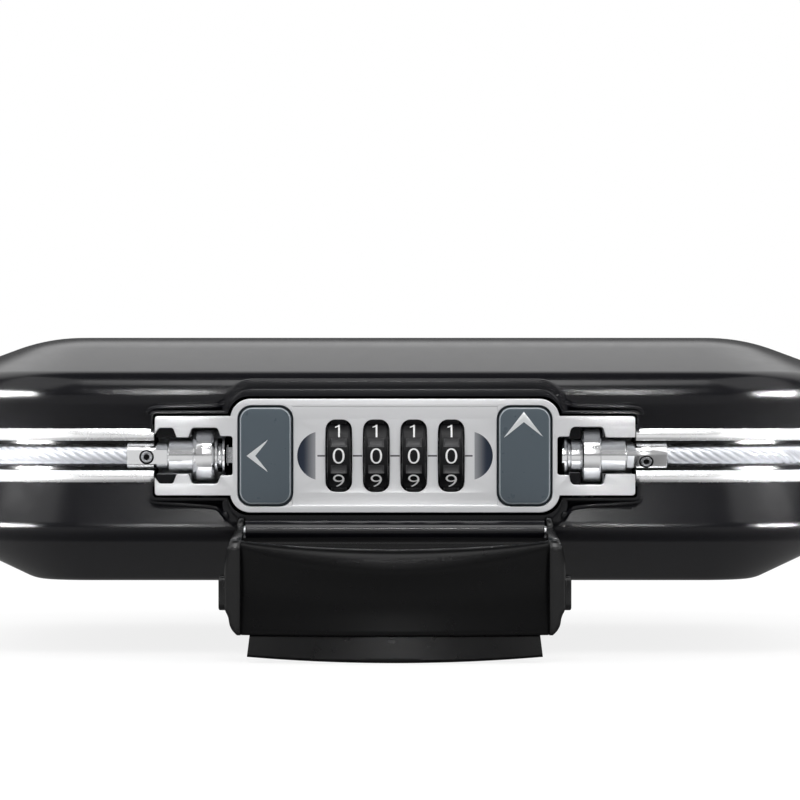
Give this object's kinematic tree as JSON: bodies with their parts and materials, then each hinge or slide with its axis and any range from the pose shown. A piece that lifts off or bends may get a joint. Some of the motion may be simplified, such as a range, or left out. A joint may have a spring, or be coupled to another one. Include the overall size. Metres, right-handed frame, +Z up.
{
  "type": "portable safe",
  "caption": "Clamshell security case with a front combination lock, two push buttons, a steel cable round its seam and a folding carrying handle.",
  "frame": {"origin": "centre of the flat base, on the surface that the case stands on", "axes": "+Z up, the lock faces -Y, the hinges are at +Y, +X to the right of the lock seen from the front"},
  "size_m": [0.226, 0.2096, 0.0771],
  "materials": {
    "shell_black": "gloss, fine orange peel",
    "rim_bright": "bright, lightly brushed along its length",
    "foam_grey": "open foam",
    "hinge_black": "satin black",
    "steel_pin": "ground",
    "screw_steel": "zinc plated",
    "plate_satin": "satin, brushed along its length",
    "housing_dark": "cast, matt black",
    "cover_zinc": "grey, satin",
    "inner_plastic": "moulded",
    "spring_steel": "polished",
    "dial_black": "matt black with white figures",
    "button_slate": "satin slate with a bright arrow",
    "tab_pale": "moulded",
    "cable_steel": "twisted strands",
    "cable_clear": "clear vinyl",
    "fitting_chrome": "bright",
    "handle_black": "semi-gloss",
    "grip_black": "semi-gloss, fine grain"
  },
  "bodies": {
    "base": {"lower_shell": "shell_black", "lower_rim": "rim_bright", "lower_liner": "foam_grey", "hinge_leaves_lower": "hinge_black", "hinge_pins": "steel_pin", "hinge_screws_lower": "screw_steel", "lock_faceplate": "plate_satin", "lock_housing": "housing_dark", "lock_back_cover": "cover_zinc", "back_cover_screws": "screw_steel", "lock_mount_screws": "screw_steel", "dial_shaft": "steel_pin", "dial_spacers": "inner_plastic", "detent_spring": "spring_steel", "cable_button_spring": "spring_steel", "lid_button_spring": "spring_steel", "cable_core": "cable_steel", "cable_jacket": "cable_clear", "left_ferrule": "fitting_chrome", "right_ferrule": "fitting_chrome", "ferrule_screws": "screw_steel", "handle_pins": "steel_pin"},
    "lid": {"upper_shell": "shell_black", "upper_rim": "rim_bright", "upper_liner": "foam_grey", "hinge_leaves_upper": "hinge_black", "hinge_screws_upper": "screw_steel", "latch_keepers": "steel_pin", "keeper_screws": "screw_steel"},
    "handle": {"handle_frame": "handle_black", "handle_grip": "grip_black", "handle_lip": "grip_black", "handle_side_caps": "handle_black", "handle_screws": "screw_steel"},
    "cable_button": {"cable_button": "button_slate", "cable_catch": "steel_pin"},
    "lid_button": {"lid_button": "button_slate"},
    "latch": {"latch_slide": "steel_pin"},
    "reset_tab": {"code_reset_tab": "tab_pale"},
    "left_plug": {"left_plug": "fitting_chrome"},
    "right_plug": {"right_plug": "fitting_chrome"},
    "dial_1": {"dial_1": "dial_black", "dial_sleeve_1": "inner_plastic"},
    "dial_2": {"dial_2": "dial_black", "dial_sleeve_2": "inner_plastic"},
    "dial_3": {"dial_3": "dial_black", "dial_sleeve_3": "inner_plastic"},
    "dial_4": {"dial_4": "dial_black", "dial_sleeve_4": "inner_plastic"}
  },
  "joints": [
    {"name": "lid_hinge", "type": "hinge", "parent": "base", "child": "lid", "pos_m": [0, 0.0918, 0.0311], "axis": [-1, 0, 0], "range_deg": [0, 105]},
    {"name": "handle_hinge", "type": "hinge", "parent": "base", "child": "handle", "pos_m": [0, -0.0902, 0.0129], "axis": [-1, 0, 0], "range_deg": [0, 75]},
    {"name": "dial_1_turn", "type": "hinge", "parent": "base", "child": "dial_1", "pos_m": [-0.0135, -0.0813, 0.0311], "axis": [1, 0, 0], "continuous": true},
    {"name": "dial_2_turn", "type": "hinge", "parent": "base", "child": "dial_2", "pos_m": [-0.0045, -0.0813, 0.0311], "axis": [1, 0, 0], "continuous": true},
    {"name": "dial_3_turn", "type": "hinge", "parent": "base", "child": "dial_3", "pos_m": [0.0045, -0.0813, 0.0311], "axis": [1, 0, 0], "continuous": true},
    {"name": "dial_4_turn", "type": "hinge", "parent": "base", "child": "dial_4", "pos_m": [0.0135, -0.0813, 0.0311], "axis": [1, 0, 0], "continuous": true},
    {"name": "cable_button_press", "type": "slide", "parent": "base", "child": "cable_button", "axis": [0, 1, 0], "range_m": [0, 0.002], "stiffness_N_per_m": 200, "springref_m": -0.002, "deforming": ["cable_button_spring"]},
    {"name": "lid_button_press", "type": "slide", "parent": "base", "child": "lid_button", "axis": [0, 1, 0], "range_m": [0, 0.002], "stiffness_N_per_m": 200, "springref_m": -0.002, "deforming": ["lid_button_spring"]},
    {"name": "latch_travel", "type": "slide", "parent": "base", "child": "latch", "axis": [0, 1, 0], "range_m": [0, 0.002]},
    {"name": "reset_tab_travel", "type": "slide", "parent": "base", "child": "reset_tab", "axis": [1, 0, 0], "range_m": [0, 0.005]},
    {"name": "left_plug_turn", "type": "hinge", "parent": "base", "child": "left_plug", "pos_m": [-0.0524, -0.0808, 0.0311], "axis": [1, 0, 0], "continuous": true},
    {"name": "right_plug_turn", "type": "hinge", "parent": "base", "child": "right_plug", "pos_m": [0.0534, -0.0808, 0.0311], "axis": [1, 0, 0], "continuous": true}
  ],
  "couplings": [
    {"joint": "latch_travel", "follows": "lid_button_press", "ratio": 1}
  ]
}
